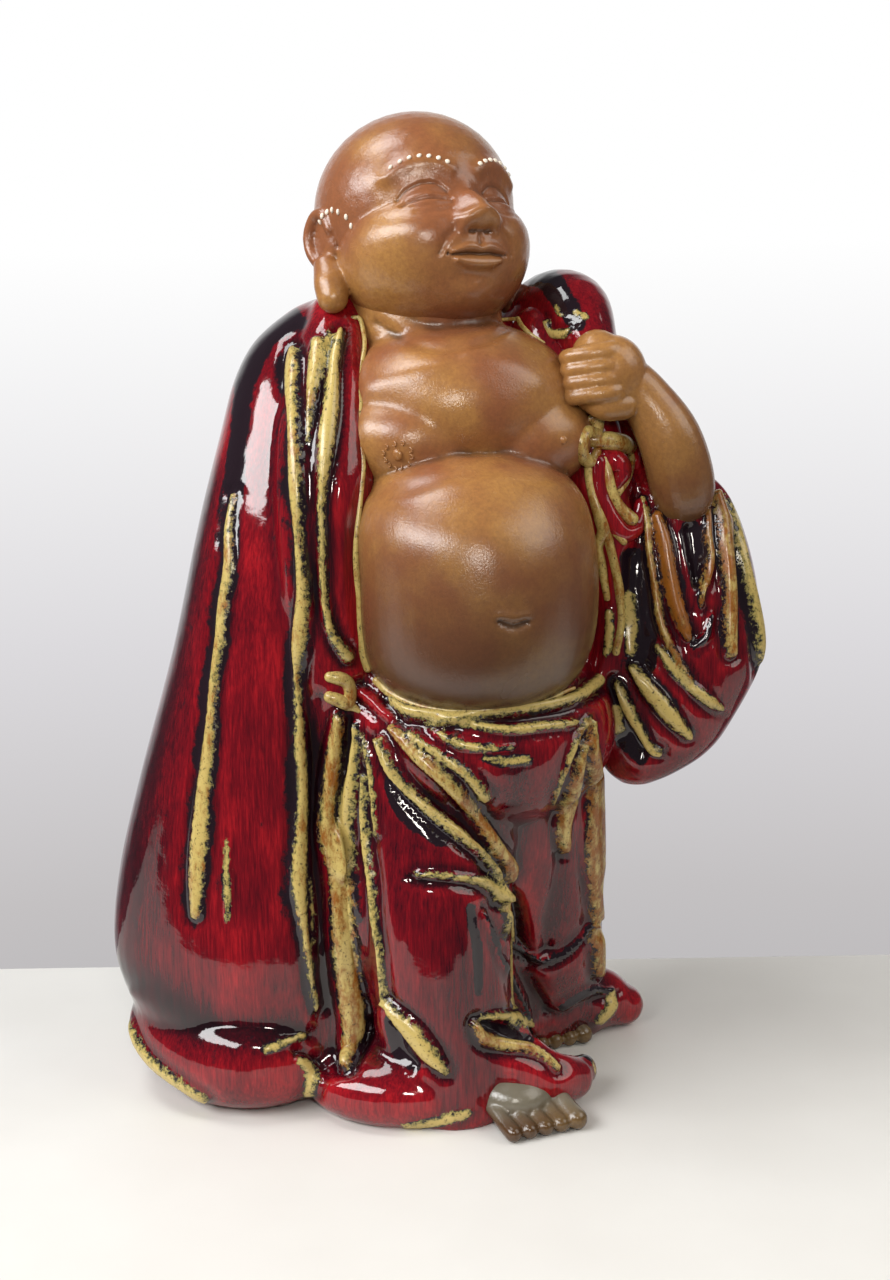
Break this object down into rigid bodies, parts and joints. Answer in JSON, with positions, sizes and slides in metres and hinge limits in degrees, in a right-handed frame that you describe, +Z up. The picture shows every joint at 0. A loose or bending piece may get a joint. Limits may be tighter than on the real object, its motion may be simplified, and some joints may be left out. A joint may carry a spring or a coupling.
{
  "type": "ceramic budai figure",
  "caption": "Standing budai figure in hollow fired clay, bare chest and belly, long red glazed robe with cream folds, a sack gripped at the shoulder.",
  "frame": {"origin": "centre of the figure's bounding box, at the flat underside of its base", "axes": "+Z up along the figure's height, -Y towards its front, +X to its left hand"},
  "size_m": [0.2036, 0.1577, 0.329],
  "materials": {
    "glazed_robe": "gloss"
  },
  "bodies": {
    "root": {"budai_figure": "glazed_robe"}
  },
  "joints": []
}
